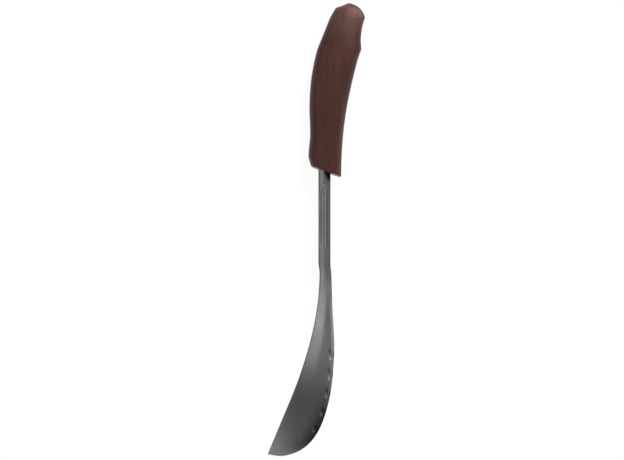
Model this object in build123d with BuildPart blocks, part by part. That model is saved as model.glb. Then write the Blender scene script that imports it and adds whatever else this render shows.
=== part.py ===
from build123d import *

import math
import os

# A palette knife lying on a table, in millimetres.
# +Y runs up the shank towards the handle, +X is to the right seen from above, +Z is up.
# The origin is on the flat back of the handle, below the line of the shank's axis.

# --- Shank: a crowned steel bar, with its tang inside the handle -------------------------------
axis_height = 7.5  # from the table to the middle of the shank
shank_width = 6.65
shank_thickness = 4.2  # at the top of the crown
crown_radius = 7.5  # of the bar's front and back
shank_length = 50.5  # that shows between the handle and the shoulder
shank_inset = 6.0  # of the full bar, inside the handle
tang_width = 4.6
tang_thickness = 3.0
tang_length = 46.0
tang_corner = 0.5
notch_depth = 0.6  # of the notches that key the tang into its cement
notch_radius = 1.0
notch_pitch = 9.0
notch_count = 3
flute_offsets = (-1.9, 0.0, 2.0)  # of the three flutes, across the bar
flute_depth = 0.32
flute_width = 1.36
flute_length = 31.0
dot_radius = 0.45  # of the punch mark below the handle
dot_drop = 7.0  # from the handle to the mark
overrun = 1.0  # of a cut, past what it cuts

# --- Blade: a leaf of spring steel brazed to a seat on the shank --------------------------------
lap_length = 10.5  # of the seat
lap_thickness = 1.6  # of the blade on its seat
tongue_tip = 0.5  # thickness left at the end of the seat
cheek_taper = 0.66  # that each side of the seat, and the blade's left side, steps in
cheek_run = 5.2  # over which it steps in
neck_flare = 0.42  # that the blade's right side steps out
blade_length = 106.6
spine_bend = 0.346  # of the leaf's length, where the tangents of its curved back meet
spine_run = 0.714  # of the leaf's length, where the back starts to run straight to the tip
spine_sweep = 16.4  # that the back has moved left by then
tip_sweep = 28.8  # that the back has moved left at the tip
heel_sweep = 22.6  # left of the shank's axis, where the convex edge is lowest
heel_rise = 0.8  # that the tip's corner lies above that lowest place
arch_rise = 4.6  # steepness of the arch past the seat
arch_run = 0.35  # of the leaf's length, over which it arches
settle_run = 0.27  # of the leaf's length, over which it levels out on the table
tip_thickness = 0.55
scallop_count = 5
scallop_pitch = 10.9  # along the convex edge
scallop_start = 50.6  # from the shoulder to the first
scallop_inset = 2.4  # from the edge to the middle of a scallop
scallop_depth = 0.2
scallop_length = 5.4
scallop_width = 2.3

# Points of the leaf's convex edge below its neck: how far along the leaf's length, and how far
# right of the shank's axis.
belly_points = ((0.22, 4.4), (0.46, 5.43), (0.71, 2.6), (0.88, -3.85), (0.963, -11.9))

# --- Handle: two halves of hardwood, cemented and pinned round the tang -------------------------
end_y = -39.5  # where the slanting end crosses the shank's axis
end_slope = 20.0  # degrees off square
end_chamfer = 0.7
handle_length = 92.2
handle_thickness = 16.2
facet = 0.27  # of the width or thickness, cut off at each corner
mortise_gap = 0.3  # cement round the shank and tang
mortise_end_gap = 2.0  # cement beyond the tang
pin_radius = 1.2
pin_length = 9.6
pin_chamfer = 0.3
pin_inset = 17.0  # from the handle's end to the first pin
pin_pitch = 20.0

# Cross-sections of the handle: how far along its length, its left and right sides from the
# shank's axis, how high its back lies off the table, and how far its front has fallen.
handle_sections = (
    (-0.071, -5.6, 9.0, 0.0, 1.4),
    (0.097, -8.8, 9.5, 0.0, 1.0),
    (0.205, -7.8, 10.3, 0.0, 0.5),
    (0.361, -8.2, 12.0, 0.0, 0.1),
    (0.540, -7.4, 15.6, 0.0, 0.0),
    (0.727, -3.9, 20.2, 0.0, 0.7),
    (0.787, -1.6, 20.0, 0.0, 1.2),
    (0.848, 0.7, 20.8, 0.2, 2.1),
    (0.916, 3.2, 22.4, 1.0, 3.9),
    (0.972, 6.4, 19.0, 2.9, 6.1),
    (1.000, 10.6, 16.8, 5.0, 8.2),
)

# --- Places worked out from the sizes above -----------------------------------------------------
half_width = shank_width / 2
half_thickness = shank_thickness / 2
front_z = axis_height + half_thickness
back_z = axis_height - half_thickness
seat_z = front_z - lap_thickness
shoulder_y = end_y - shank_length
lap_end_y = shoulder_y - lap_length
neck_y = shoulder_y - cheek_run
tip_y = shoulder_y - blade_length
inset_y = end_y + shank_inset
pin_places = [(0, end_y + pin_inset + n * pin_pitch, axis_height) for n in range(2)]
slope = math.radians(end_slope)
handle_end = Plane((0, end_y, 0), x_dir=(math.cos(slope), -math.sin(slope), 0),
                   z_dir=(math.sin(slope), math.cos(slope), 0))


def across(y):
    """The plane square to the shank's axis at y, with X to the right and Z up."""
    return Plane.XZ.offset(-y)


def crown_drop(x):
    """How far the bar's crown has fallen at x from its top."""
    return crown_radius - math.sqrt(crown_radius**2 - x**2)


def hollow_radius(chord, depth):
    """The radius of an arc of that chord and depth."""
    return (chord**2 / 4 + depth**2) / (2 * depth)


os.makedirs("parts", exist_ok=True)

# Shank and tang are one forging.
side_height = half_thickness - crown_drop(half_width)
wheel_radius = hollow_radius(flute_length, flute_depth)
rim_radius = hollow_radius(flute_width, flute_depth)

with BuildPart() as shank:
    with BuildSketch(across(inset_y)):
        with BuildLine():
            front = ThreePointArc(
                (-half_width, axis_height + side_height),
                (0, front_z),
                (half_width, axis_height + side_height),
            )
            back = ThreePointArc(
                (half_width, axis_height - side_height),
                (0, back_z),
                (-half_width, axis_height - side_height),
            )
            Line(front @ 1, back @ 0)
            Line(back @ 1, front @ 0)
        make_face()
    extrude(amount=inset_y - lap_end_y)
    with BuildSketch(across(inset_y)):
        with Locations((0, axis_height)):
            RectangleRounded(tang_width, tang_thickness, tang_corner)
    extrude(amount=-tang_length)
    # The seat is cut level, and the tongue under it is ramped.
    with BuildSketch(Plane.YZ):
        with BuildLine():
            Polyline(
                (shoulder_y, seat_z),
                (shoulder_y, front_z + overrun),
                (lap_end_y - overrun, front_z + overrun),
                (lap_end_y - overrun, seat_z),
                close=True,
            )
        make_face()
        with BuildLine():
            Polyline(
                (shoulder_y + cheek_run, back_z),
                (lap_end_y, seat_z - tongue_tip),
                (lap_end_y - overrun, seat_z - tongue_tip),
                (lap_end_y - overrun, back_z - overrun),
                (shoulder_y + cheek_run, back_z - overrun),
                close=True,
            )
        make_face()
    extrude(amount=shank_width, both=True, mode=Mode.SUBTRACT)
    # Both cheeks of the tongue step in under the blade.
    with BuildSketch(Plane.XY):
        with BuildLine():
            Polyline(
                (-half_width, shoulder_y),
                (-half_width + cheek_taper, neck_y),
                (-half_width + cheek_taper, lap_end_y - overrun),
                (-half_width - overrun, lap_end_y - overrun),
                (-half_width - overrun, shoulder_y),
                close=True,
            )
        make_face()
        mirror(about=Plane.YZ)
    extrude(amount=front_z + overrun, mode=Mode.SUBTRACT)
    # Each flute is the track of a large grinding wheel, and runs out at both ends.
    for x in flute_offsets:
        track = half_thickness - crown_drop(x) - flute_depth + wheel_radius
        for side in (1, -1):
            place = (x, (end_y + shoulder_y) / 2, axis_height + side * track)
            with Locations(Location(place, (0, 90, 0))):
                Torus(wheel_radius - rim_radius, rim_radius, mode=Mode.SUBTRACT)
    # Notches in the tang's edges, and its two pin holes.
    for n in range(notch_count):
        for side in (1, -1):
            place = (side * (tang_width / 2 + notch_radius - notch_depth), inset_y + (n + 1) * notch_pitch)
            with Locations((*place, axis_height)):
                Cylinder(notch_radius, 2 * tang_thickness, mode=Mode.SUBTRACT)
    with Locations(pin_places):
        Cylinder(pin_radius, 2 * tang_thickness, mode=Mode.SUBTRACT)
    with Locations((0, end_y - dot_drop, front_z)):
        Sphere(dot_radius, mode=Mode.SUBTRACT)
shank.part.label = "shank"
export_step(shank.part, "parts/shank.step")

# The blade is the leaf's outline, cut through its arched side view.
neck_left = -half_width + cheek_taper
neck_right = half_width + neck_flare
tip = (neck_left - tip_sweep, tip_y + heel_rise)

with BuildPart() as blade:
    with BuildSketch(Plane.XY):
        with BuildLine():
            root = Line((half_width, shoulder_y), (-half_width, shoulder_y))
            cheek = Line(root @ 1, (neck_left, neck_y))
            curved_back = Bezier(
                cheek @ 1,
                (neck_left, shoulder_y - spine_bend * blade_length),
                (neck_left - spine_sweep, shoulder_y - spine_run * blade_length),
            )
            Line(curved_back @ 1, tip)
            belly = Spline(
                (half_width, shoulder_y),
                (neck_right, neck_y),
                *[(right, shoulder_y - along * blade_length) for along, right in belly_points],
                (-heel_sweep, tip_y),
                tip,
            )
        make_face()
    extrude(amount=front_z + arch_rise)
    with BuildSketch(Plane.YZ):
        with BuildLine():
            seat_front = Line((shoulder_y, front_z), (lap_end_y, front_z))
            leaf_front = Bezier(
                seat_front @ 1,
                (lap_end_y - arch_run * blade_length, front_z + arch_rise),
                (tip_y + settle_run * blade_length, tip_thickness),
                (tip_y, tip_thickness),
            )
            tip_edge = Line(leaf_front @ 1, (tip_y, 0))
            leaf_back = Bezier(
                tip_edge @ 1,
                (tip_y + settle_run * blade_length, 0),
                (lap_end_y - arch_run * blade_length, seat_z + arch_rise),
                (lap_end_y, seat_z),
            )
            Line(leaf_back @ 1, (shoulder_y, seat_z))
            Line((shoulder_y, seat_z), (shoulder_y, front_z))
        make_face()
    extrude(amount=2 * tip_sweep, both=True, mode=Mode.INTERSECT)
    # Shallow scallops are ground into the front along the convex edge.
    scallop_wheel = hollow_radius(scallop_length, scallop_depth)
    scallop_rim = hollow_radius(scallop_width, scallop_depth)
    scallop_places = []
    for n in range(scallop_count):
        along = (scallop_start + n * scallop_pitch) / belly.length
        edge_run = belly.tangent_at(along)
        inward = Vector(edge_run.Y, -edge_run.X)
        upright = Axis(belly.position_at(along) + inward * scallop_inset, (0, 0, 1))
        surface, normal = max(blade.part.find_intersection_points(upright), key=lambda hit: hit[0].Z)
        centre = surface + normal * (scallop_wheel - scallop_depth)
        scallop_places.append(Plane(centre, x_dir=normal, z_dir=inward - normal * inward.dot(normal)))
    with Locations(*scallop_places):
        Torus(scallop_wheel - scallop_rim, scallop_rim, mode=Mode.SUBTRACT)
blade.part.label = "blade"
export_step(blade.part, "parts/blade.step")


def handle_section(section):
    """One eight-sided section of the handle, as a plane and its corners from X and Z."""
    along, left, right, under, fallen = section
    over = handle_thickness - fallen
    corner_x = facet * (right - left)
    corner_z = facet * (over - under)
    corners = (
        (left + corner_x, under),
        (right - corner_x, under),
        (right, under + corner_z),
        (right, over - corner_z),
        (right - corner_x, over),
        (left + corner_x, over),
        (left, over - corner_z),
        (left, under + corner_z),
    )
    return across(end_y + along * handle_length), corners


# Both halves of the handle are shaped as one blank, joined on the plane of the tang.
with BuildPart() as handle_blank:
    for section in handle_sections:
        plane, corners = handle_section(section)
        with BuildSketch(plane):
            Polygon(*corners, align=None)
    loft(ruled=True)
    split(bisect_by=handle_end, keep=Keep.TOP)
    mouth = handle_blank.faces().sort_by(Axis.Y)[0]
    chamfer(mouth.outer_wire().edges(), length=end_chamfer)

# The mortise follows the bar for its inset and the tang for the rest.
with BuildPart() as mortise:
    with BuildSketch(across(inset_y + mortise_gap)):
        with Locations((0, axis_height)):
            Rectangle(shank_width + 2 * mortise_gap, shank_thickness + 2 * mortise_gap)
    extrude(amount=2 * shank_inset)
    with BuildSketch(across(inset_y)):
        with Locations((0, axis_height)):
            Rectangle(tang_width + 2 * mortise_gap, tang_thickness + 2 * mortise_gap)
    extrude(amount=-tang_length - mortise_end_gap)
    split(bisect_by=handle_end, keep=Keep.TOP)

with BuildPart() as tang_pins:
    with Locations(pin_places):
        Cylinder(pin_radius, pin_length)
    chamfer(tang_pins.edges().filter_by(GeomType.CIRCLE), length=pin_chamfer)
tang_pins.part.label = "tang_pins"
export_step(tang_pins.part, "parts/tang_pins.step")

with BuildPart() as tang_bedding:
    add(mortise.part)
    add(shank.part, mode=Mode.SUBTRACT)
    add(tang_pins.part, mode=Mode.SUBTRACT)
tang_bedding.part.label = "tang_bedding"
export_step(tang_bedding.part, "parts/tang_bedding.step")

with BuildPart() as front_scale:
    add(handle_blank.part)
    split(bisect_by=Plane.XY.offset(axis_height), keep=Keep.TOP)
    add(mortise.part, mode=Mode.SUBTRACT)
    add(tang_pins.part, mode=Mode.SUBTRACT)
front_scale.part.label = "front_scale"
export_step(front_scale.part, "parts/front_scale.step")

with BuildPart() as back_scale:
    add(handle_blank.part)
    split(bisect_by=Plane.XY.offset(axis_height), keep=Keep.BOTTOM)
    add(mortise.part, mode=Mode.SUBTRACT)
    add(tang_pins.part, mode=Mode.SUBTRACT)
back_scale.part.label = "back_scale"
export_step(back_scale.part, "parts/back_scale.step")
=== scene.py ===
import math

import bmesh
import bpy
import numpy as np
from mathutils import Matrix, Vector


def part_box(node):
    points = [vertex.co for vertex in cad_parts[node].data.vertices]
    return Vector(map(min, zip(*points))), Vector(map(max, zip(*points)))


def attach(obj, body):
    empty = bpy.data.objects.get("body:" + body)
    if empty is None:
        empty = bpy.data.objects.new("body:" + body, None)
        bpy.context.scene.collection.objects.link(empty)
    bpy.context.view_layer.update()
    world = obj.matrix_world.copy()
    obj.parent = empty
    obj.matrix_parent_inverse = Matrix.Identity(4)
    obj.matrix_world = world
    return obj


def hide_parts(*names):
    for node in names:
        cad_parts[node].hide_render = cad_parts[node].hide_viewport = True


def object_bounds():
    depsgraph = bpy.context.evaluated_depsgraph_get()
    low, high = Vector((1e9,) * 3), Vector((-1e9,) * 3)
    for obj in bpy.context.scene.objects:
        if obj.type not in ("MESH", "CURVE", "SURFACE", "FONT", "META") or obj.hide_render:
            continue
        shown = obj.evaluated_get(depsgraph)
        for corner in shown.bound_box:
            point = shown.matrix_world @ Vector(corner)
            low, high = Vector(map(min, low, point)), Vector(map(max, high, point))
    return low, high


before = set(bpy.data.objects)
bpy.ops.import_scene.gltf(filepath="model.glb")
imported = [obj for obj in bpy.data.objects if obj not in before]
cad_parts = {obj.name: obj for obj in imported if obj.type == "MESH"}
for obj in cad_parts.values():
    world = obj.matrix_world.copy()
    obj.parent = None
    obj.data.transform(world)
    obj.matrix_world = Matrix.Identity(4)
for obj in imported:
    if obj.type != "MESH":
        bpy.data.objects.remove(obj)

mm = 0.001
cad_low, cad_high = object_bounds()

# --- Shank ---------------------------------------------------------------------------------------
# The shank is one forging of carbon steel, a bar with crowned faces that is fluted lengthwise on a
# wheel. One end is drawn down to a notched tang for the handle, and the other is cut back to a thin
# tongue that the blade is brazed on.
shank_low, shank_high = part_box("shank")
axis_z = (shank_low.z + shank_high.z) / 2
bar_half_width = (shank_high.x - shank_low.x) / 2
bar_half_height = (shank_high.z - shank_low.z) / 2
shoulder_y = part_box("blade")[1].y
tang_length = 46 * mm
tang_half_width = 2.3 * mm
tang_half_height = 1.5 * mm
tang_start_y = shank_high.y - tang_length
handle_end_y = tang_start_y - 6 * mm
notch_radius = 1 * mm
notch_depth = 0.6 * mm
notch_pitch = 9 * mm
notch_count = 3
tang_squareness = 9
seat_z = shank_high.z - 1.6 * mm
tongue_tip = 0.5 * mm
cheek_taper = 0.66 * mm
cheek_run = 5.2 * mm
flute_centres = (-1.9 * mm, 0.0, 2.0 * mm)
flute_half_width = 0.62 * mm
flute_depth = 0.17 * mm
flute_runout = 9 * mm
flute_margin = 5 * mm
pit_centre = (-0.25 * mm, handle_end_y - 7.2 * mm)
pit_radius = 0.45 * mm
pit_depth = 0.3 * mm
crown_radius = 7.5 * mm
arris = 0.3 * mm
bar_step = 0.3 * mm
shoulder_slant = 0.03 * mm
tongue_rows = 40
across_bar = np.sin(np.linspace(-math.pi / 2, math.pi / 2, 121))


def eased(t):
    """0 up to t = 0, 1 from t = 1, and a smooth rise between them."""
    t = np.clip(t, 0.0, 1.0)
    return t * t * (3 - 2 * t)


def bar_fall(x):
    """How far the bar's crowned face has fallen at x from its middle, with the arris rubbed round."""
    x = np.minimum(np.abs(x), bar_half_width)
    crown = crown_radius - np.sqrt(crown_radius**2 - x**2)
    past = np.clip(x - (bar_half_width - arris), 0, arris)
    return crown + arris - np.sqrt(arris**2 - past**2)


def flute_run(y):
    """1 where the flutes are full, falling to 0 where they run out."""
    middle_y = (handle_end_y + shoulder_y) / 2
    reach = (handle_end_y - shoulder_y) / 2 - flute_margin
    return eased((reach - abs(y - middle_y)) / flute_runout)


def fluting(x, y):
    """How deep the three flutes are ground at x and y."""
    cut = np.zeros_like(x)
    for centre in flute_centres:
        cut += flute_depth * np.clip(1 - ((x - centre) / flute_half_width) ** 2, 0, 1) ** 1.5
    return flute_run(y) * cut


def ring(x, y, top, bottom):
    """A closed loop of points, over the top from left to right and back underneath."""
    y = np.broadcast_to(y, x.shape)
    over = np.stack([x, y, top], axis=1)
    under = np.stack([x, y, bottom], axis=1)[::-1]
    return np.concatenate([over, under])


def bar_ring(y):
    """The fluted bar between the shoulder and the tang."""
    x = bar_half_width * across_bar
    height = bar_half_height - bar_fall(x)
    pit = 1 - ((x - pit_centre[0]) ** 2 + (y - pit_centre[1]) ** 2) / pit_radius**2
    top = axis_z + height - fluting(x, y) - pit_depth * np.clip(pit, 0, 1)
    return ring(x, y, top, axis_z - height + fluting(x, y))


def tongue_ring(y):
    """The bar below the shoulder: cut level for the blade, ramped underneath, drawn in at its cheeks."""
    drawn_in = cheek_taper * min(1, (shoulder_y - y) / cheek_run)
    ramp_start = shoulder_y + cheek_run
    ramp = (ramp_start - y) / (ramp_start - shank_low.y)
    floor_z = shank_low.z + ramp * (seat_z - tongue_tip - shank_low.z)
    height = bar_half_height - bar_fall(bar_half_width * across_bar)
    top = np.minimum(axis_z + height, seat_z)
    bottom = np.maximum(axis_z - height, floor_z)
    return ring((bar_half_width - drawn_in) * across_bar, y, top, np.minimum(bottom, top))


def tang_ring(y):
    """The tang, with its corners rubbed down and a notch in both sides at each pitch."""
    notch = 0.0
    for n in range(notch_count):
        off = abs(y - tang_start_y - (n + 1) * notch_pitch)
        if off < notch_radius:
            notch = max(notch, math.sqrt(notch_radius**2 - off**2) - notch_radius + notch_depth)
    height = tang_half_height * (1 - np.abs(across_bar) ** tang_squareness) ** (1 / tang_squareness)
    return ring((tang_half_width - notch) * across_bar, y, axis_z + height, axis_z - height)


def skinned(name, rings, capped=True, painted_light_and_tarnish=None, weld=0.002 * mm):
    """A piece with one skin over closed rings of points, and its tarnish, painted shade and painted highlight
    at each point.
    """
    count = len(rings[0])
    mesh = bpy.data.meshes.new(name)
    faces = []
    for r in range(len(rings) - 1):
        for i in range(count):
            j = (i + 1) % count
            faces.append((r * count + i, r * count + j, (r + 1) * count + j, (r + 1) * count + i))
    if capped:
        faces.append(tuple(range(count))[::-1])
        faces.append(tuple(range((len(rings) - 1) * count, len(rings) * count)))
    mesh.from_pydata(np.concatenate(rings).tolist(), [], faces)
    if painted_light_and_tarnish is not None:
        layer = mesh.attributes.new("painted_light_and_tarnish", "FLOAT", "POINT")
        layer.data.foreach_set("value", np.concatenate(painted_light_and_tarnish).astype(np.float32))
    clean = bmesh.new()
    clean.from_mesh(mesh)
    bmesh.ops.remove_doubles(clean, verts=clean.verts, dist=weld)
    bmesh.ops.recalc_face_normals(clean, faces=clean.faces)
    clean.to_mesh(mesh)
    clean.free()
    piece = bpy.data.objects.new(name, mesh)
    bpy.context.collection.objects.link(piece)
    return piece


def rod(radius, low, high, x, y, sides=48):
    """A cutter in the shape of an upright rod."""
    turn = np.linspace(0, 2 * math.pi, sides, endpoint=False)
    circle = [(x + radius * math.cos(a), y + radius * math.sin(a)) for a in turn]
    return skinned("cutter", [np.array([(cx, cy, z) for cx, cy in circle]) for z in (low, high)])


def cut(piece, cutter):
    """Takes the cutter's shape out of the piece."""
    difference = piece.modifiers.new("cut", "BOOLEAN")
    difference.operation = "DIFFERENCE"
    difference.solver = "EXACT"
    difference.object = cutter
    bpy.context.view_layer.update()
    shaped = bpy.data.meshes.new_from_object(piece.evaluated_get(bpy.context.evaluated_depsgraph_get()))
    piece.modifiers.clear()
    piece.data = shaped
    bpy.data.objects.remove(cutter)


def finish_surface(piece, material, crease=32):
    """Shades the piece smooth up to a crease angle, in degrees, and gives it its material."""
    piece.data.shade_smooth()
    piece.data.set_sharp_from_angle(angle=math.radians(crease))
    piece.data.materials.clear()
    piece.data.materials.append(material)


def node(material, kind, **settings):
    """A shader node of that kind with some of its properties and inputs set."""
    made = material.node_tree.nodes.new(kind)
    for key, value in settings.items():
        if hasattr(made, key):
            setattr(made, key, value)
        else:
            made.inputs[key.replace("_", " ")].default_value = value
    return made


def ramp(material, source, stops):
    """A colour ramp through (position, colour) stops, fed by a socket."""
    made = material.node_tree.nodes.new("ShaderNodeValToRGB")
    while len(made.color_ramp.elements) < len(stops):
        made.color_ramp.elements.new(0.5)
    for element, (position, colour) in zip(made.color_ramp.elements, stops):
        element.position = position
        element.color = (*colour, 1) if isinstance(colour, tuple) else (colour, colour, colour, 1)
    material.node_tree.links.new(source, made.inputs["Fac"])
    return made.outputs["Color"]


def worked_steel(name, dark, light, rough, scratch_scale, scratch_depth, shade_and_tarnish_colour=(0.033, 0.038, 0.035)):
    """Steel ground lengthwise and rubbed down: fine lines, clouds from handling, tarnish with painted shade,
    and painted highlights.

    Where the attribute is above 0 the steel darkens with tarnish and painted shade, and where it is below 0
    it is paled towards grey as a painted highlight.
    """
    steel = bpy.data.materials.new(name)
    steel.use_nodes = True
    link = steel.node_tree.links.new
    shader = steel.node_tree.nodes["Principled BSDF"]
    shader.inputs["Metallic"].default_value = 1.0
    place = node(steel, "ShaderNodeTexCoord").outputs["Object"]
    along = node(steel, "ShaderNodeMapping", Scale=scratch_scale)
    link(place, along.inputs["Vector"])
    lines = node(steel, "ShaderNodeTexNoise", Scale=1.0, Detail=5.0, Roughness=0.65)
    link(along.outputs["Vector"], lines.inputs["Vector"])
    clouds = node(steel, "ShaderNodeTexNoise", Scale=85.0, Detail=4.0, Roughness=0.6)
    link(place, clouds.inputs["Vector"])
    mixed = node(steel, "ShaderNodeMath", operation="MULTIPLY_ADD")
    mixed.inputs[1].default_value = 0.35
    link(lines.outputs["Fac"], mixed.inputs[0])
    halved = node(steel, "ShaderNodeMath", operation="MULTIPLY")
    halved.inputs[1].default_value = 0.65
    link(clouds.outputs["Fac"], halved.inputs[0])
    link(halved.outputs[0], mixed.inputs[2])
    painted_light_and_tarnish = node(steel, "ShaderNodeAttribute", attribute_name="painted_light_and_tarnish")
    toned = node(steel, "ShaderNodeMix", data_type="RGBA", B=(*shade_and_tarnish_colour, 1))
    link(painted_light_and_tarnish.outputs["Fac"], toned.inputs["Factor"])
    link(ramp(steel, mixed.outputs[0], [(0.36, dark), (0.64, light)]), toned.inputs["A"])
    # Painted highlight: below 0 the attribute pales the steel towards a light grey.
    painted_highlight_amount = node(steel, "ShaderNodeMath", operation="MULTIPLY", use_clamp=True)
    painted_highlight_amount.inputs[1].default_value = -1.0
    link(painted_light_and_tarnish.outputs["Fac"], painted_highlight_amount.inputs[0])
    highlight_mix = node(steel, "ShaderNodeMix", data_type="RGBA", B=(0.9, 0.9, 0.88, 1))
    link(painted_highlight_amount.outputs[0], highlight_mix.inputs["Factor"])
    link(toned.outputs["Result"], highlight_mix.inputs["A"])
    link(highlight_mix.outputs["Result"], shader.inputs["Base Color"])
    roughness = ramp(steel, mixed.outputs[0], [(0.3, rough + 0.05), (0.7, rough - 0.05)])
    link(roughness, shader.inputs["Roughness"])
    bump = node(steel, "ShaderNodeBump", Strength=0.25, Distance=scratch_depth)
    link(lines.outputs["Fac"], bump.inputs["Height"])
    link(bump.outputs["Normal"], shader.inputs["Normal"])
    return steel


tongue_stations = np.linspace(shank_low.y, shoulder_y, tongue_rows)
bar_stations = np.arange(shoulder_y + shoulder_slant, tang_start_y, bar_step)
tang_stations = np.arange(tang_start_y, shank_high.y, bar_step)
rings = [tongue_ring(y) for y in tongue_stations]
rings += [bar_ring(y) for y in (*bar_stations, tang_start_y)]
rings += [tang_ring(y) for y in (*tang_stations, shank_high.y)]

# How dark the bar is made, from 0 to 1: dull all over, painted shade down each side, more on the right,
# patina in the flutes and in the pit, a painted shadow beside the handle, and darker on its left where it
# isn't fluted and where it is.
overall_tarnish = 0.16
left_side_shade = 0.25
right_side_shade = 0.5
flute_tarnish = 0.2
pit_tarnish = 0.9
handle_shadow = 0.95
plain_left_darkening = 0.24
fluted_left_darkening = 0.05


def dullness_and_side_shade(x, fluted=0.0):
    """The bar's overall dullness, painted shade down its sides, and a darker tone on its left."""
    # Painted shade down both sides, stronger on the right.
    sides = eased((np.abs(x) - bar_half_width + 0.75 * mm) / (0.7 * mm))
    sides = sides * np.where(x < 0, left_side_shade, right_side_shade)
    film = eased((0.6 * mm - x) / (2 * mm)) * (plain_left_darkening + (fluted_left_darkening - plain_left_darkening) * fluted)
    return overall_tarnish + sides + film


def bar_patina_and_shade(points):
    """Painted shade down the sides, patina in the flutes and the pit, and the handle's painted shadow beside
    it.
    """
    x, y = points[:, 0], points[:, 1]
    hollows = fluting(x, y[0]) / flute_depth
    pit = np.clip(1 - ((x - pit_centre[0]) ** 2 + (y - pit_centre[1]) ** 2) / pit_radius**2, 0, 1)
    # Beside the handle the painted shadow is a wedge, longer on the right.
    mouth = eased((y - handle_end_y + 3.2 * mm + 1.2 * x) / (3 * mm)) * eased((x + 1.2 * mm) / (2.2 * mm))
    amount = dullness_and_side_shade(x, flute_run(y[0]))
    amount += flute_tarnish * hollows + pit_tarnish * pit + handle_shadow * mouth
    return np.clip(amount, 0, 1)


shank = skinned("shank_forging", rings, painted_light_and_tarnish=[bar_patina_and_shade(points) for points in rings])

pins_low, pins_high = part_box("tang_pins")
pin_radius = (pins_high.x - pins_low.x) / 2
pin_stations = (pins_low.y + pin_radius, pins_high.y - pin_radius)
hole_reach = 2 * tang_half_height
for y in pin_stations:
    cut(shank, rod(pin_radius, axis_z - hole_reach, axis_z + hole_reach, 0, y))

bar_steel = worked_steel("fluted_bar_steel", (0.43, 0.44, 0.43), (0.53, 0.54, 0.53), 0.40,
                         (2600, 55, 2600), 0.015 * mm)
finish_surface(shank, bar_steel)
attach(shank, "root")
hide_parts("shank")

# --- Pins and cement -----------------------------------------------------------------------------
# Two lengths of drawn wire cross the tang, blind in both halves of the handle. The mortise round
# them is filled with cutler's cement, a resin and brick-dust mix run in hot, and a little of it has
# squeezed out round the shank and set as a bead.
mouth_slope = math.radians(20)
bead_radius = 0.26 * mm
thinnest_bead = 0.45
bead_squash = 0.8
bead_corners = 0.6
bead_clearance = (0.1 * mm, 0.05 * mm)
bead_steps = 121
bead_sides = 14

pin_wire = worked_steel("pin_wire", (0.42, 0.42, 0.42), (0.55, 0.55, 0.54), 0.3, (300, 300, 1500), 0.01 * mm)
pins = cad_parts["tang_pins"]
pins.data.materials.clear()
pins.data.materials.append(pin_wire)


def cutlers_cement():
    """Dark resin cement with brick dust in it, gritty and half matt."""
    cement = bpy.data.materials.new("cutlers_cement")
    cement.use_nodes = True
    link = cement.node_tree.links.new
    shader = cement.node_tree.nodes["Principled BSDF"]
    place = node(cement, "ShaderNodeTexCoord").outputs["Object"]
    grit = node(cement, "ShaderNodeTexNoise", Scale=2600.0, Detail=6.0, Roughness=0.7)
    link(place, grit.inputs["Vector"])
    colours = [(0.3, (0.035, 0.022, 0.018)), (0.55, (0.075, 0.045, 0.034)), (0.75, (0.16, 0.10, 0.075))]
    link(ramp(cement, grit.outputs["Fac"], colours), shader.inputs["Base Color"])
    link(ramp(cement, grit.outputs["Fac"], [(0.3, 0.75), (0.7, 0.5)]), shader.inputs["Roughness"])
    bump = node(cement, "ShaderNodeBump", Strength=0.5, Distance=0.05 * mm)
    link(grit.outputs["Fac"], bump.inputs["Height"])
    link(bump.outputs["Normal"], shader.inputs["Normal"])
    return cement


cement = cutlers_cement()
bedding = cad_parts["tang_bedding"]
bedding.data.materials.clear()
bedding.data.materials.append(cement)


def bead_rings():
    """Small circles strung round the bar where it enters the handle, uneven as squeezed-out cement is."""
    circles = []
    for a in np.linspace(0, 2 * math.pi, bead_steps):
        side, up = math.cos(a), math.sin(a)
        x = math.copysign(abs(side) ** bead_corners, side) * (bar_half_width + bead_clearance[0])
        z = math.copysign(abs(up) ** bead_corners, up) * (bar_half_height + bead_clearance[1])
        swell = 1 + 0.3 * math.sin(2 * a + 0.7) + 0.2 * math.sin(5 * a + 2.0)
        radius = bead_radius * max(thinnest_bead, swell)
        y = handle_end_y - math.tan(mouth_slope) * x
        turn = np.linspace(0, 2 * math.pi, bead_sides, endpoint=False)
        length = math.hypot(x, z)
        out = (x / length, z / length)
        circles.append(np.stack([
            x + out[0] * radius * np.cos(turn),
            y + radius * bead_squash * np.sin(turn),
            axis_z + z + out[1] * radius * np.cos(turn),
        ], axis=1))
    return circles


bead = skinned("cement_bead", bead_rings(), capped=False)
finish_surface(bead, cement, crease=60)
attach(bead, "root")

# --- Handle --------------------------------------------------------------------------------------
# The handle is two halves of a dark tropical hardwood, shaped as one with a drawknife and a rasp so
# that soft facets run its length, then scraped and oiled. The halves are glued on the level of the
# tang, each with half of the mortise and two blind holes for the pins.
handle_low_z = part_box("back_scale")[0].z
handle_high_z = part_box("front_scale")[1].z
rows_along = 220
points_over = 64
end_round = 0.5 * mm
end_round_step = 0.25 * mm
end_lean = 0.95 * mm
end_setback = 0.35 * mm
end_lean_rows = 4
mortise_gap = 0.3 * mm
mortise_overrun = 9 * mm

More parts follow.
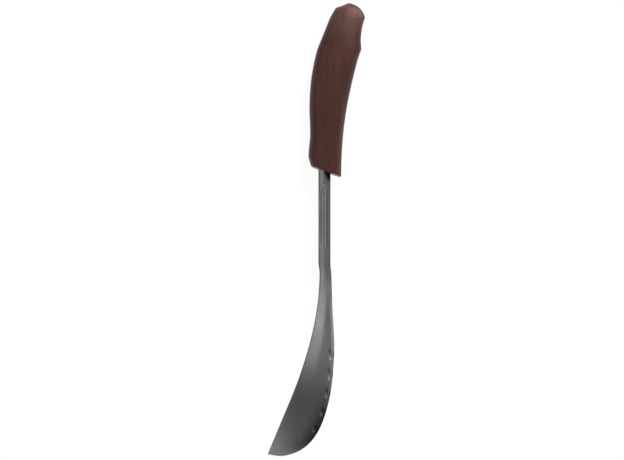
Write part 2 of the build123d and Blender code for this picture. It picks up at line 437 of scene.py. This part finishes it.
# Each side of the handle from its slanting end to the tip of the pommel, right of and above the
# middle of that end.
left_side = [(-7.4, 2.7), (-8.1, 5.4), (-8.6, 7.3), (-8.72, 7.9), (-8.7, 8.6), (-8.3, 14.0), (-7.85, 19.0),
             (-7.9, 26.0), (-8.2, 33.0), (-8.0, 41.0), (-7.3, 50.0), (-5.9, 58.5), (-3.95, 66.6),
             (-3.5, 67.9), (-1.6, 72.6), (0.7, 78.2), (3.2, 84.4), (5.95, 89.2), (6.3, 89.75), (6.95, 90.0),
             (9.8, 91.0), (12.6, 92.1), (13.4, 92.45)]
right_side = [(9.2, -3.35), (9.3, 3.5), (9.55, 10.0), (10.3, 20.0), (11.4, 29.0), (12.9, 38.0), (14.9, 47.5),
              (17.1, 56.5), (18.9, 63.0), (20.15, 66.4), (20.3, 67.0), (20.25, 67.8), (20.0, 72.0),
              (20.3, 76.0), (21.1, 80.5), (22.15, 83.7), (22.3, 84.3), (22.15, 84.9), (21.25, 87.2),
              (19.1, 89.85), (17.0, 91.25), (14.8, 92.1), (13.4, 92.45)]
# How far each side then lies outside its points.
left_widening = 0.12 * mm
right_widening = 0.1 * mm
# How high the back lies and how far the front has fallen, along the handle.
back_lift = [(0.0, 0.0), (0.80, 0.0), (0.88, 0.35), (0.93, 1.1), (0.97, 2.5), (0.99, 4.4), (1.0, 7.4)]
front_fall = [(0.0, 1.5), (0.12, 0.95), (0.25, 0.35), (0.42, 0.0), (0.6, 0.15), (0.71, 0.9), (0.79, 2.0),
              (0.86, 3.4), (0.92, 4.9), (0.96, 6.2), (0.985, 7.4), (1.0, 8.6)]
# The handle's cross-section, as shares of its width and thickness, before its arrises are eased, from its
# end to the swell and at the pommel, where the ridge has moved to the left.
facets = np.array([(0.0, 0.48), (0.005, 0.70), (0.12, 0.885), (0.35, 0.985), (0.62, 1.0), (0.85, 0.93),
                   (0.994, 0.73), (1.0, 0.48), (0.985, 0.26), (0.85, 0.07), (0.68, 0.0), (0.30, 0.0),
                   (0.13, 0.075), (0.012, 0.28)])
pommel_facets = facets.copy()
pommel_facets[2:7] = [(0.09, 0.84), (0.24, 0.93), (0.44, 1.0), (0.955, 0.87), (0.994, 0.76)]
pommel_start = 0.55
pommel_full = 0.95
fall_softening = 19


def flowing(points, count):
    """Evenly spaced points along a smooth line through the given ones."""
    knots = np.array(points, float)
    before = 2 * knots[0] - knots[1]
    after = 2 * knots[-1] - knots[-2]
    knots = np.vstack([before, knots, after])
    fine = []
    for a, b, c, d in zip(knots, knots[1:], knots[2:], knots[3:]):
        ab, bc, cd = (max(np.linalg.norm(q - p), 1e-9) ** 0.5 for p, q in ((a, b), (b, c), (c, d)))
        slope_b = ((b - a) / ab - (c - a) / (ab + bc) + (c - b) / bc) * bc
        slope_c = ((c - b) / bc - (d - b) / (bc + cd) + (d - c) / cd) * bc
        t = np.linspace(0, 1, 24, endpoint=False)[:, None]
        fine.append((2 * t**3 - 3 * t**2 + 1) * b + (t**3 - 2 * t**2 + t) * slope_b
                    + (3 * t**2 - 2 * t**3) * c + (t**3 - t**2) * slope_c)
    fine = np.vstack([*fine, knots[-2]])
    return evenly(fine, count)


def evenly(line, count):
    """The same line, as that many points at equal steps along it."""
    run = np.concatenate([[0], np.cumsum(np.linalg.norm(np.diff(line, axis=0), axis=1))])
    steps = np.linspace(0, run[-1], count)
    return np.stack([np.interp(steps, run, line[:, k]) for k in range(line.shape[1])], axis=1)


def eased_corners(corners, passes=3, share=0.2):
    """A closed outline with its corners planed off, and the new corners planed off again."""
    outline = np.array(corners, float)
    for _ in range(passes):
        ahead = np.roll(outline, -1, axis=0)
        outline = np.stack([outline + share * (ahead - outline), ahead - share * (ahead - outline)], axis=1)
        outline = outline.reshape(-1, 2)
    return outline


def half_outline(outline, split, upper):
    """The part of a closed outline above or below the height where the handle is split."""
    side = outline[:, 1] >= split if upper else outline[:, 1] <= split
    start = next(i for i in range(len(side)) if side[i] and not side[i - 1])
    outline, side = np.roll(outline, -start, axis=0), np.roll(side, -start)
    inside = outline[:int(side.sum())]
    ends = []
    for inner, outer in ((inside[0], outline[-1]), (inside[-1], outline[len(inside)])):
        t = (split - inner[1]) / (outer[1] - inner[1])
        ends.append(inner + t * (outer - inner))
    return evenly(np.vstack([ends[0], inside, ends[1]]), points_over)


# Painted shade, from 0 to 1, in the rim on both sides and on the left facet at the swell.
rim_shade = 0.7
left_facet_shade = 0.294
rim_width = 0.03


def handle_rings(upper):
    """Rings along one half of the handle, and how much painted shade each of their points takes."""
    left = flowing(left_side, rows_along) * mm - (left_widening, 0)
    right = flowing(right_side, rows_along) * mm + (right_widening, 0)
    share = np.linspace(0, 1, rows_along)
    lift = np.interp(share, *zip(*back_lift)) * mm
    fall = np.interp(share, *zip(*front_fall)) * mm
    window = np.hanning(fall_softening + 2)[1:-1]
    fall = np.convolve(np.pad(fall, fall_softening // 2, mode="edge"), window / window.sum(), mode="valid")
    made, painted_shade = [], []
    for row in range(rows_along - 1):
        start, end = left[row].copy(), right[row].copy()
        low, high = handle_low_z + lift[row], handle_high_z - fall[row]
        inset = end_round - row * end_round_step
        if inset > 0:
            drawn = end_round - math.sqrt(end_round**2 - inset**2)
            toward = (end - start) / np.linalg.norm(end - start)
            start, end, low, high = start + toward * drawn, end - toward * drawn, low + drawn, high - drawn
        pommel = eased((share[row] - pommel_start) / (pommel_full - pommel_start))
        outline = eased_corners((1 - pommel) * facets + pommel * pommel_facets)
        outline = outline * (1, high - low) + (0, low)
        half = half_outline(outline, axis_z, upper)
        plan = start + half[:, :1] * (end - start)
        lean = end_lean * np.clip((high - half[:, 1]) / (high - low), 0, 1) - end_setback
        lean *= max(0, 1 - row / end_lean_rows)
        made.append(np.column_stack([plan[:, 0], handle_end_y + plan[:, 1] - lean, half[:, 1]]))
        at_swell = eased((share[row] - 0.5) / 0.1) * (1 - eased((share[row] - 0.80) / 0.06))
        at_rim = np.clip(1.15 - np.minimum(half[:, 0], 1 - half[:, 0]) / rim_width, 0, 1)
        on_left = left_facet_shade * at_swell * eased((0.17 - half[:, 0]) / 0.08)
        painted_shade.append(np.maximum(rim_shade * at_rim, on_left))
    return made, painted_shade


def mortise_cutter():
    """The hollow for the bar and the tang, open at the handle's end."""
    def frame_at(y, half_width, half_height):
        x = np.array([-1, 1, 1, -1]) * half_width
        z = axis_z + np.array([1, 1, -1, -1]) * half_height
        return np.stack([x, np.full(4, y), z], axis=1)

    bar_end = tang_start_y + mortise_gap
    bar_size = (bar_half_width + mortise_gap, bar_half_height + mortise_gap)
    tang_size = (tang_half_width + mortise_gap, tang_half_height + mortise_gap)
    tang_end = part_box("tang_bedding")[1].y
    stations = [(handle_end_y - mortise_overrun, bar_size), (bar_end, bar_size),
                (bar_end, tang_size), (tang_end, tang_size)]
    return skinned("cutter", [frame_at(y, *size) for y, size in stations])


end_band_reach = 0.2 * mm
# Where the painted highlight on the pommel starts and where it is full, measured from the handle's end.
highlight_start = 71 * mm
highlight_full = 86 * mm


def oiled_hardwood():
    """Dark reddish-brown wood: long streaks, short open pores, a low sheen, a painted highlight on the
    pommel, painted shade in the rims and on the left facet, and a paler band at the slanting end.
    """
    wood = bpy.data.materials.new("oiled_hardwood")
    wood.use_nodes = True
    link = wood.node_tree.links.new
    shader = wood.node_tree.nodes["Principled BSDF"]
    place = node(wood, "ShaderNodeTexCoord").outputs["Object"]
    long_way = node(wood, "ShaderNodeMapping", Scale=(420, 16, 420), Rotation=(0, 0, 0.16))
    link(place, long_way.inputs["Vector"])
    streaks = node(wood, "ShaderNodeTexNoise", Scale=1.0, Detail=6.0, Roughness=0.6, Distortion=0.4)
    link(long_way.outputs["Vector"], streaks.inputs["Vector"])
    pore_way = node(wood, "ShaderNodeMapping", Scale=(3800, 240, 3800), Rotation=(0, 0, 0.16))
    link(place, pore_way.inputs["Vector"])
    pores = node(wood, "ShaderNodeTexNoise", Scale=1.0, Detail=2.0, Roughness=0.5)
    link(pore_way.outputs["Vector"], pores.inputs["Vector"])
    broad = node(wood, "ShaderNodeTexNoise", Scale=60.0, Detail=3.0)
    link(place, broad.inputs["Vector"])
    browns = [(0.30, (0.088, 0.038, 0.030)), (0.5, (0.104, 0.046, 0.037)), (0.72, (0.124, 0.057, 0.046))]
    streak_colour = ramp(wood, streaks.outputs["Fac"], browns)
    broad_shade = ramp(wood, broad.outputs["Fac"], [(0.3, (0.86, 0.90, 0.86)), (0.7, (1.10, 1.02, 1.04))])
    tinted = node(wood, "ShaderNodeMix", data_type="RGBA", blend_type="MULTIPLY")
    tinted.inputs["Factor"].default_value = 1.0
    link(streak_colour, tinted.inputs["A"])
    link(broad_shade, tinted.inputs["B"])
    pore_shade = ramp(wood, pores.outputs["Fac"], [(0.32, 0.55), (0.42, 1.0)])
    pored = node(wood, "ShaderNodeMix", data_type="RGBA", blend_type="MULTIPLY")
    pored.inputs["Factor"].default_value = 0.6
    link(tinted.outputs["Result"], pored.inputs["A"])
    link(pore_shade, pored.inputs["B"])
    # The wood is paler in a thin patchy band along the slanting end.
    from_end = node(wood, "ShaderNodeVectorMath", operation="DOT_PRODUCT")
    from_end.inputs[1].default_value = (math.sin(mouth_slope), math.cos(mouth_slope), 0)
    link(place, from_end.inputs[0])
    end_reach = math.cos(mouth_slope) * handle_end_y
    near_end = node(wood, "ShaderNodeMapRange", From_Min=end_reach - end_band_reach, From_Max=end_reach + end_band_reach,
                To_Min=1.0, To_Max=0.0)
    link(from_end.outputs["Value"], near_end.inputs["Value"])
    patchy = node(wood, "ShaderNodeMath", operation="MULTIPLY")
    link(near_end.outputs["Result"], patchy.inputs[0])
    link(ramp(wood, broad.outputs["Fac"], [(0.35, 0.65), (0.6, 1.0)]), patchy.inputs[1])
    # The pommel is painted paler towards its end: a painted highlight.
    place_parts = node(wood, "ShaderNodeSeparateXYZ")
    link(place, place_parts.inputs[0])
    pommel_highlight_mask = node(wood, "ShaderNodeMapRange", interpolation_type="SMOOTHSTEP",
                  From_Min=handle_end_y + highlight_start, From_Max=handle_end_y + highlight_full)
    link(place_parts.outputs["Y"], pommel_highlight_mask.inputs["Value"])
    pommel_lightened = node(wood, "ShaderNodeMix", data_type="RGBA", blend_type="MULTIPLY", B=(1.5, 1.72, 1.88, 1))
    link(pommel_highlight_mask.outputs["Result"], pommel_lightened.inputs["Factor"])
    link(pored.outputs["Result"], pommel_lightened.inputs["A"])
    # Painted shade from the mesh: the rims and the left facet at the swell are darkened.
    painted_shade = node(wood, "ShaderNodeAttribute", attribute_name="painted_light_and_tarnish")
    shaded_wood = node(wood, "ShaderNodeMix", data_type="RGBA", B=(0.028, 0.012, 0.011, 1))
    link(painted_shade.outputs["Fac"], shaded_wood.inputs["Factor"])
    link(pommel_lightened.outputs["Result"], shaded_wood.inputs["A"])
    end_lightened = node(wood, "ShaderNodeMix", data_type="RGBA", blend_type="MULTIPLY", B=(6.0, 9.2, 9.8, 1))
    link(patchy.outputs[0], end_lightened.inputs["Factor"])
    link(shaded_wood.outputs["Result"], end_lightened.inputs["A"])
    link(end_lightened.outputs["Result"], shader.inputs["Base Color"])
    shader.inputs["Specular IOR Level"].default_value = 0.35
    shader.inputs["Specular Tint"].default_value = (1.0, 0.66, 0.66, 1)
    link(ramp(wood, streaks.outputs["Fac"], [(0.3, 0.48), (0.7, 0.40)]), shader.inputs["Roughness"])
    bump = node(wood, "ShaderNodeBump", Strength=0.3, Distance=0.04 * mm)
    link(pore_shade, bump.inputs["Height"])
    link(bump.outputs["Normal"], shader.inputs["Normal"])
    return wood


hardwood = oiled_hardwood()
for scale_name, cad_node, upper in (("front_half", "front_scale", True), ("back_half", "back_scale", False)):
    rings, painted_shade = handle_rings(upper)
    scale = skinned(scale_name, rings, painted_light_and_tarnish=painted_shade)
    cut(scale, mortise_cutter())
    for y in pin_stations:
        cut(scale, rod(pin_radius, pins_low.z, pins_high.z, 0, y))
    finish_surface(scale, hardwood, crease=40)
    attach(scale, "root")
    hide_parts(cad_node)

# --- Blade ---------------------------------------------------------------------------------------
# The blade is a leaf of spring steel brazed on the shank's seat. It is forged with a soft ridge at
# its root, drawn thinner towards the tip, set to a low arch, and ground with a row of scallops along
# its convex edge.
blade_low, blade_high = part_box("blade")
blade_length = blade_high.y - blade_low.y
lap_end_y = shank_low.y
tip_thickness = 0.55 * mm
arch_rise = 4.6 * mm
arch_run = 0.35 * blade_length
settle_run = 0.27 * blade_length
neck_left = -bar_half_width + cheek_taper
neck_right = bar_half_width + 0.42 * mm
spine_bend = 0.346
spine_run = 0.714
spine_sweep = 16.4 * mm
tip_left = blade_low.x
heel_left = -22.6 * mm
heel_rise = 0.8 * mm
# The convex edge below the neck: how far along the blade, and how far right of the shank's middle.
belly = [(0.22, 4.4 * mm), (0.46, 5.43 * mm), (0.71, 2.6 * mm), (0.88, -3.85 * mm), (0.963, -11.9 * mm)]
crease_start = 0.66
crease_drift = -0.42
crease_softness = 1.1 * mm
left_fall = 0.12
right_fall = 0.07
bevel_width = 1.9 * mm
bevel_rise = 0.10
heel_fall = 0.5 * mm
heel_reach = 9 * mm
edge_round = 0.16 * mm
thinnest_edge = 0.12 * mm
root_blend = 20 * mm
scallop_count = 5
scallop_start = 50.6 * mm
scallop_pitch = 10.9 * mm
scallop_inset = 2.4 * mm
scallop_lengths = (6.4 * mm, 6.6 * mm, 6.0 * mm, 5.2 * mm, 4.6 * mm)
scallop_width = 1.9 * mm
scallop_depth = 0.3 * mm
nick_inset = 0.2 * mm
nick_depth = 0.1 * mm
nick_reach = (1.9 * mm, 0.5 * mm)
leaf_rows = 360
leaf_columns = 110
side_lead = 12 * mm
side_step = 0.2 * mm
bend_softening = 61


def bezier(points, t):
    """Points of a Bezier curve of any degree at each t."""
    points = [np.array(p, float) * np.ones((len(t), 1)) for p in points]
    t = t[:, None]
    while len(points) > 1:
        points = [a + t * (b - a) for a, b in zip(points, points[1:])]
    return points[0]


def along_leaf(share):
    """The place that share of the way from the shoulder to the tip."""
    return shoulder_y - share * blade_length


def side_view(start_z, end_z):
    """Height of one face of the blade against y, from the shoulder to the tip."""
    t = np.linspace(0, 1, 200)
    face = bezier([(lap_end_y, start_z), (lap_end_y - arch_run, start_z + arch_rise),
                   (blade_low.y + settle_run, end_z), (blade_low.y, end_z)], t)
    face = np.vstack([[shoulder_y + side_lead, start_z], face])
    y = np.arange(blade_low.y, shoulder_y + side_lead, side_step)
    z = np.interp(y, face[::-1, 0], face[::-1, 1])
    weights = np.hanning(bend_softening)
    padded = np.pad(z, bend_softening // 2, mode="edge")
    return y, np.convolve(padded, weights / weights.sum(), mode="valid")


front_side = side_view(shank_high.z, tip_thickness)
back_side = side_view(seat_z, 0.0)

neck_y = shoulder_y - cheek_run
tip_point = (tip_left, blade_low.y + heel_rise)
spine_points = [(-bar_half_width, shoulder_y), (neck_left, neck_y)]
bent = bezier([(neck_left, neck_y), (neck_left, along_leaf(spine_bend)),
               (neck_left - spine_sweep, along_leaf(spine_run))], np.linspace(0, 1, 60))
spine_edge = evenly(np.vstack([spine_points[0], bent, tip_point]), leaf_rows)
belly_points = [(bar_half_width, shoulder_y), (bar_half_width + 0.08 * mm, shoulder_y - 2.2 * mm),
                (neck_right, neck_y)]
belly_points += [(x, along_leaf(share)) for share, x in belly]
belly_points += [(heel_left, blade_low.y), tip_point]
belly_edge = flowing(belly_points, leaf_rows)

belly_run = np.concatenate([[0], np.cumsum(np.linalg.norm(np.diff(belly_edge, axis=0), axis=1))])


def scallop_offset(plan, n, inset):
    """How far points of the blade's plan are from a scallop, and its ways along and in from the edge."""
    run = scallop_start + n * scallop_pitch
    here, ahead = (np.array([np.interp(r, belly_run, belly_edge[:, k]) for k in (0, 1)])
                   for r in (run, run + 1 * mm))
    along = (ahead - here) / np.linalg.norm(ahead - here)
    inward = np.array([along[1], -along[0]])
    return plan - here - inward * inset, along, inward


def scallops(plan):
    """How deep the scallops are ground at each point of the blade's plan, with a nick in the edge at each."""
    depth = np.zeros(len(plan))
    for n in range(scallop_count):
        off, along, inward = scallop_offset(plan, n, scallop_inset)
        lengthways, sideways = off @ along / (scallop_lengths[n] / 2), off @ inward / (scallop_width / 2)
        depth += scallop_depth * np.sqrt(np.clip(1 - lengthways**2 - sideways**2, 0, 1))
        nick = scallop_offset(plan, n, nick_inset)[0]
        lengthways, sideways = nick @ along / nick_reach[0], nick @ inward / nick_reach[1]
        depth += nick_depth * np.clip(1 - lengthways**2 - sideways**2, 0, 1)
    return depth


def across_leaf(row):
    """Points from the spine to the belly: how far across each is, the leaf's width there, and their plan."""
    start, end = spine_edge[row], belly_edge[row]
    share = (1 - np.cos(np.linspace(0, math.pi, leaf_columns))) / 2
    return share, np.linalg.norm(end - start), start + share[:, None] * (end - start)


def leaf_ring(row):
    """One closed ring round the blade, over its front from spine to belly and back underneath."""
    share, width, plan = across_leaf(row)
    y = plan[:, 1]
    front = np.interp(y, *front_side)
    back = np.interp(y, *back_side)
    travelled = row / (leaf_rows - 1)

    to_spine, to_belly = share * width, (1 - share) * width
    ridge = crease_start + crease_drift * travelled
    off_ridge = (share - ridge) * width
    softened = np.sqrt(off_ridge**2 + crease_softness**2) - crease_softness
    right = right_fall * np.minimum(softened, max(0.0, (1 - ridge) * width - bevel_width))
    right *= 1 - 0.65 * eased((travelled - 0.2) / 0.2)
    left = left_fall * (0.45 + 0.55 * eased((travelled - 0.15) / 0.25)) * softened
    folded = np.where(off_ridge < 0, left, right) * (1 - eased((travelled - 0.42) / 0.26))
    round_heel = (shoulder_y - y[-1]) / blade_length
    turned = eased((round_heel - 0.55) / 0.33) * eased((1.0 - round_heel) / 0.05)
    heel = heel_fall * turned * np.clip(1 - to_belly / heel_reach, 0, 1) ** 2
    bevel = bevel_rise * np.maximum(bevel_width - to_belly, 0)
    folded -= bevel * eased((travelled - 0.12) / 0.1) * (1 - eased((travelled - 0.58) / 0.2))
    root = eased((shoulder_y - y) / root_blend)
    relief = (1 - root) * bar_fall((share - 0.5) * width) + root * (folded + heel)

    nearest = np.minimum(np.minimum(to_spine, to_belly) / edge_round, 1)
    rounded = edge_round * (1 - np.sqrt(1 - (1 - nearest) ** 2)) * root
    top = front - relief - rounded - scallops(plan) * root
    under = back + rounded + root * (0.25 * heel - 0.6 * folded)
    middle = (top + under) / 2
    pinched = top - under < thinnest_edge
    top = np.where(pinched, middle + thinnest_edge / 2, top)
    under = np.where(pinched, middle - thinnest_edge / 2, under)
    over_points = np.column_stack([plan, top])
    under_points = np.column_stack([plan, under])[::-1]
    return np.vstack([over_points, under_points])


# How much painted shade the leaf takes, from 0 to 1: down its spine, round its heel, towards its belly, and
# on one side of the first scallop, with a little less in each one after it.
spine_shade = 0.75
heel_shade = 0.62
belly_shade = 0.32
first_scallop_light_and_shade = 0.95
scallop_light_and_shade_step = 0.08
# How much painted highlight it takes instead: on the upper leaf left of the crease, beside the crease, on the
# bevel, at its low edges and at the tip.
upper_leaf_highlight = 0.3
beside_crease_highlight = 0.34
bevel_highlight = 0.3
edge_highlight = 0.35
tip_highlight = 0.4


def scallop_light_and_shade(plan):
    """Painted shade on one side of each scallop and a painted highlight on its other side, with a darker tone
    at its nick in the edge.
    """
    amount = np.zeros(len(plan))
    for n in range(scallop_count):
        off, along, inward = scallop_offset(plan, n, scallop_inset)
        lengthways, sideways = off @ along / (scallop_lengths[n] / 2), off @ inward / (scallop_width / 2)
        inside = np.clip(1.3 - lengthways**2 - sideways**2, 0, 1)
        side = np.clip(1.6 * (0.7 * sideways + 0.7 * lengthways), -1, 1)
        nick = scallop_offset(plan, n, nick_inset)[0]
        at_edge = np.clip(1.4 - (nick @ along / (2.2 * mm)) ** 2 - (nick @ inward / (0.6 * mm)) ** 2, 0, 1)
        strength = first_scallop_light_and_shade - scallop_light_and_shade_step * n
        amount += strength * np.where(inside > 0, -inside * side, 0.8 * at_edge)
    return amount


def leaf_painted_light_and_tone(row):
    """Painted shade down the leaf's spine, in the scallops, round the heel and towards the belly, and painted
    highlights on its upper part, bevel, low edges and tip.
    """
    share, width, plan = across_leaf(row)
    to_spine, to_belly = share * width, (1 - share) * width
    travelled = row / (leaf_rows - 1)
    crease = crease_start + crease_drift * travelled
    round_heel = (shoulder_y - plan[-1, 1]) / blade_length

    # Painted shade down the spine, round the heel and towards the belly.
    spine = np.clip(1.3 - to_spine / (0.7 * mm), 0, 1) * (1 - eased((travelled - 0.5) / 0.15))
    turned = eased((round_heel - 0.6) / 0.28) * eased((0.985 - round_heel) / 0.07)
    heel = turned * np.clip(1 - to_belly / (8 * mm), 0, 1) ** 1.3
    belly_side = eased((travelled - 0.5) / 0.2) * eased((plan[:, 0] + 24 * mm) / (10 * mm))
    painted_dark = np.clip(spine_shade * spine + heel_shade * heel + belly_shade * belly_side, 0, 1)

    # Painted highlights: on the upper leaf, beside the crease, on the bevel, at the low edges and at the tip.
    left_of_crease = eased((crease + 0.05 - share) / 0.2) * eased((travelled - 0.1) / 0.1)
    left_of_crease = upper_leaf_highlight * left_of_crease * (1 - eased((travelled - 0.40) / 0.18))
    beside = eased((share - crease + 0.12) / 0.14) * eased((travelled - 0.22) / 0.12)
    beside = beside_crease_highlight * beside * (1 - eased((travelled - 0.44) / 0.16))
    bevelled = np.clip(1.5 - to_belly / (0.9 * mm), 0, 1) * eased((travelled - 0.15) / 0.1)
    bevelled = bevel_highlight * bevelled * (1 - eased((travelled - 0.52) / 0.1))
    low_edge = eased((travelled - 0.52) / 0.1) * np.clip(1.2 - to_spine / (0.8 * mm), 0, 1)
    tip_edge = eased((round_heel - 0.97) / 0.02) * np.clip(1.3 - to_belly / (0.9 * mm), 0, 1)
    tip = tip_highlight * eased((-21 * mm - plan[:, 0]) / (8 * mm))
    edges = edge_highlight * np.maximum(low_edge, tip_edge)
    painted_highlight_amount = np.maximum(np.maximum(left_of_crease, beside) + tip, edges) + bevelled

    root = eased((shoulder_y - plan[:, 1]) / root_blend)
    leaf = painted_dark - painted_highlight_amount + scallop_light_and_shade(plan)
    amount = (1 - root) * dullness_and_side_shade((share - 0.5) * width) + root * leaf
    return np.concatenate([amount, amount[::-1]])


rows = range(leaf_rows - 1)
blade = skinned("leaf", [leaf_ring(row) for row in rows], painted_light_and_tarnish=[leaf_painted_light_and_tone(row) for row in rows])
leaf_steel = worked_steel("leaf_steel_with_painted_light", (0.43, 0.435, 0.43), (0.53, 0.535, 0.53), 0.37,
                          (2600, 55, 2600), 0.015 * mm)
finish_surface(blade, leaf_steel)
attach(blade, "root")
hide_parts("blade")

# --- Table, light and camera ---------------------------------------------------------------------
# The knife lies on a plain white table, which glows itself so that it stays evenly white. A soft key
# stands beyond the pommel on the right, a weak broad lamp high on the left, and the room is a dim white.
middle = (cad_low + cad_high) / 2
floor_mesh = bpy.data.meshes.new("floor")
floor_half = 12.0
floor_z = -0.2 * mm
floor_corners = [(x * floor_half, y * floor_half, floor_z) for x, y in ((-1, -1), (1, -1), (1, 1), (-1, 1))]
floor_mesh.from_pydata(floor_corners, [], [(0, 1, 2, 3)])
floor = bpy.data.objects.new("floor", floor_mesh)
bpy.context.collection.objects.link(floor)
floor_paint = bpy.data.materials.new("white_table")
floor_paint.use_nodes = True
floor_shader = floor_paint.node_tree.nodes["Principled BSDF"]
floor_shader.inputs["Base Color"].default_value = (0.2, 0.2, 0.2, 1)
floor_shader.inputs["Roughness"].default_value = 0.9
floor_shader.inputs["Specular IOR Level"].default_value = 0.1
floor_shader.inputs["Emission Color"].default_value = (1, 1, 1, 1)
floor_shader.inputs["Emission Strength"].default_value = 0.92
floor_mesh.materials.append(floor_paint)


def soft_light(name, azimuth, elevation, distance, size, power):
    """A square lamp that faces the knife, azimuth 0 on the tip's side and 90 on the right."""
    a, e = math.radians(azimuth), math.radians(elevation)
    lamp = bpy.data.lights.new(name, "AREA")
    lamp.size, lamp.energy = size, power
    light = bpy.data.objects.new(name, lamp)
    bpy.context.collection.objects.link(light)
    away = (math.sin(a) * math.cos(e), -math.cos(a) * math.cos(e), math.sin(e))
    light.location = [m + distance * d for m, d in zip(middle, away)]
    light.rotation_euler = (math.pi / 2 - e, 0, a)


soft_light("key", 152, 38, 1.6, 0.6, 16)
soft_light("overhead", 268, 66, 2.6, 1.5, 6.2)

studio = bpy.data.worlds.new("studio")
studio.use_nodes = True
studio.node_tree.nodes["Background"].inputs["Color"].default_value = (1, 1, 1, 1)
studio.node_tree.nodes["Background"].inputs["Strength"].default_value = 0.12
bpy.context.scene.world = studio
bpy.context.scene.view_settings.view_transform = "Standard"

view_width = 0.3432
camera_height = 2.2
camera_left = 2.3 * mm
camera = bpy.data.objects.new("camera", bpy.data.cameras.new("camera"))
bpy.context.collection.objects.link(camera)
camera.location = (middle.x - camera_left, middle.y, camera_height)
camera.data.sensor_width = 36
camera.data.lens = camera.data.sensor_width * (camera_height - axis_z) / view_width
bpy.context.scene.camera = camera
